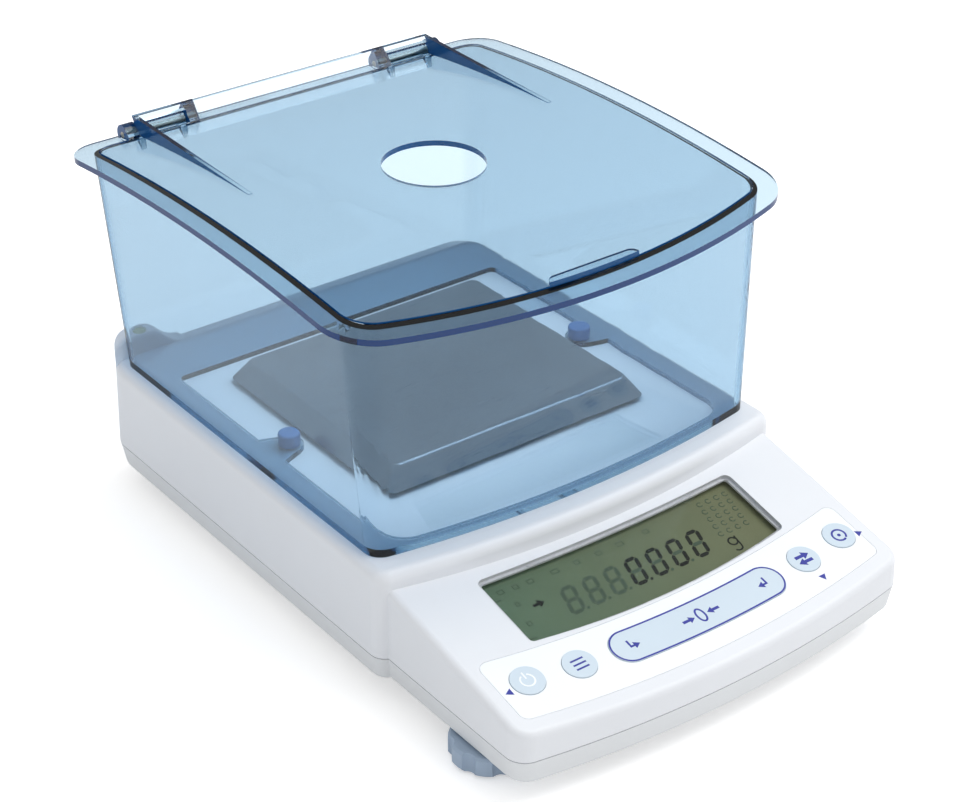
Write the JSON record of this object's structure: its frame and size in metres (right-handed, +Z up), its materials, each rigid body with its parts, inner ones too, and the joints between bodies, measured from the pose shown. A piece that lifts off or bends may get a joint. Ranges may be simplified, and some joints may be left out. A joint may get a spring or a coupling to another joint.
{
  "type": "laboratory scale",
  "caption": "Electronic precision balance: moulded casing with sloping key console, square steel weighing pan and a clear blue draft shield with a hinged lid",
  "frame": {"origin": "on the table under the middle of the balance's outline", "axes": "+X to the user's right, +Y from the keys to the rear, +Z up"},
  "size_m": [0.2202, 0.3136, 0.1693],
  "materials": {
    "casing_white": "fine matt ABS",
    "shield_blue": "clear blue acrylic",
    "steel": "brushed stainless steel",
    "key_white": "printed polyester film",
    "window": "clear acrylic",
    "lcd": "reflective liquid crystal cell",
    "knob_blue": "translucent blue grey plastic",
    "rubber": "black rubber",
    "alloy": "milled aluminium",
    "zinc": "zinc plated steel",
    "board": "glass fibre board",
    "black_plastic": "black plastic",
    "vial_glass": "level glass with liquid"
  },
  "bodies": {
    "casing": {"upper_casing": "casing_white", "lower_casing": "casing_white", "level_vial": "vial_glass", "display_window": "window", "key_strip": "key_white", "display_panel": "lcd", "display_frame": "black_plastic", "display_board": "board", "key_switches": "black_plastic", "display_screws": "zinc", "pan_carrier": "alloy", "pan_cushions": "rubber", "carrier_arm": "alloy", "load_cell": "alloy", "load_cell_spacers": "zinc", "sensor_bolts": "zinc", "base_frame": "alloy", "frame_screws": "zinc", "draft_shield": "shield_blue", "rear_feet": "rubber", "main_board": "board", "board_parts": "black_plastic", "power_inlet": "black_plastic", "data_port": "black_plastic", "ribbon": "key_white", "casing_screws": "zinc", "board_screws": "zinc"},
    "pan": {"weighing_pan": "steel"},
    "lid": {"shield_lid": "shield_blue", "hinge_pins": "steel"},
    "power_key": {"power_key": "key_white"},
    "menu_key": {"menu_key": "key_white"},
    "tare_key": {"tare_key": "key_white"},
    "unit_key": {"unit_key": "key_white"},
    "print_key": {"print_key": "key_white"},
    "thumb_screw_left": {"shield_screw_left": "knob_blue"},
    "foot_left": {"level_stud_left": "zinc", "foot_pad_left": "rubber"},
    "knob_left": {"level_knob_left": "knob_blue"},
    "thumb_screw_right": {"shield_screw_right": "knob_blue"},
    "foot_right": {"level_stud_right": "zinc", "foot_pad_right": "rubber"},
    "knob_right": {"level_knob_right": "knob_blue"}
  },
  "joints": [
    {"name": "lid_hinge", "type": "hinge", "parent": "casing", "child": "lid", "pos_m": [0, 0.1522, 0.1618], "axis": [-1, 0, 0], "range_deg": [0, 100]},
    {"name": "pan_lift", "type": "slide", "parent": "casing", "child": "pan", "axis": [0, 0, 1], "range_m": [0, 0.03]},
    {"name": "power_key_press", "type": "slide", "parent": "casing", "child": "power_key", "axis": [0, 0.2215, -0.9751], "range_m": [0, 0.0005], "stiffness_N_per_m": 800},
    {"name": "menu_key_press", "type": "slide", "parent": "casing", "child": "menu_key", "axis": [0, 0.2215, -0.9751], "range_m": [0, 0.0005], "stiffness_N_per_m": 800},
    {"name": "tare_key_press", "type": "slide", "parent": "casing", "child": "tare_key", "axis": [0, 0.2215, -0.9751], "range_m": [0, 0.0005], "stiffness_N_per_m": 800},
    {"name": "unit_key_press", "type": "slide", "parent": "casing", "child": "unit_key", "axis": [0, 0.2215, -0.9751], "range_m": [0, 0.0005], "stiffness_N_per_m": 800},
    {"name": "print_key_press", "type": "slide", "parent": "casing", "child": "print_key", "axis": [0, 0.2215, -0.9751], "range_m": [0, 0.0005], "stiffness_N_per_m": 800},
    {"name": "thumb_screw_left_turn", "type": "hinge", "parent": "casing", "child": "thumb_screw_left", "pos_m": [-0.0762, 0.0364, 0.066], "axis": [0, 0, -1], "range_deg": [0, 360]},
    {"name": "foot_left_travel", "type": "slide", "parent": "casing", "child": "foot_left", "axis": [0, 0, -1], "range_m": [0, 0.005]},
    {"name": "knob_left_turn", "type": "hinge", "parent": "foot_left", "child": "knob_left", "pos_m": [-0.087, -0.114, 0.005], "axis": [0, 0, -1], "range_deg": [0, 1440]},
    {"name": "thumb_screw_right_turn", "type": "hinge", "parent": "casing", "child": "thumb_screw_right", "pos_m": [0.0762, 0.0364, 0.066], "axis": [0, 0, -1], "range_deg": [0, 360]},
    {"name": "foot_right_travel", "type": "slide", "parent": "casing", "child": "foot_right", "axis": [0, 0, -1], "range_m": [0, 0.005]},
    {"name": "knob_right_turn", "type": "hinge", "parent": "foot_right", "child": "knob_right", "pos_m": [0.087, -0.114, 0.005], "axis": [0, 0, -1], "range_deg": [0, 1440]}
  ],
  "couplings": [
    {"joint": "foot_left_travel", "follows": "knob_left_turn", "m_per_rad": 0.00019894},
    {"joint": "foot_right_travel", "follows": "knob_right_turn", "m_per_rad": 0.00019894}
  ]
}
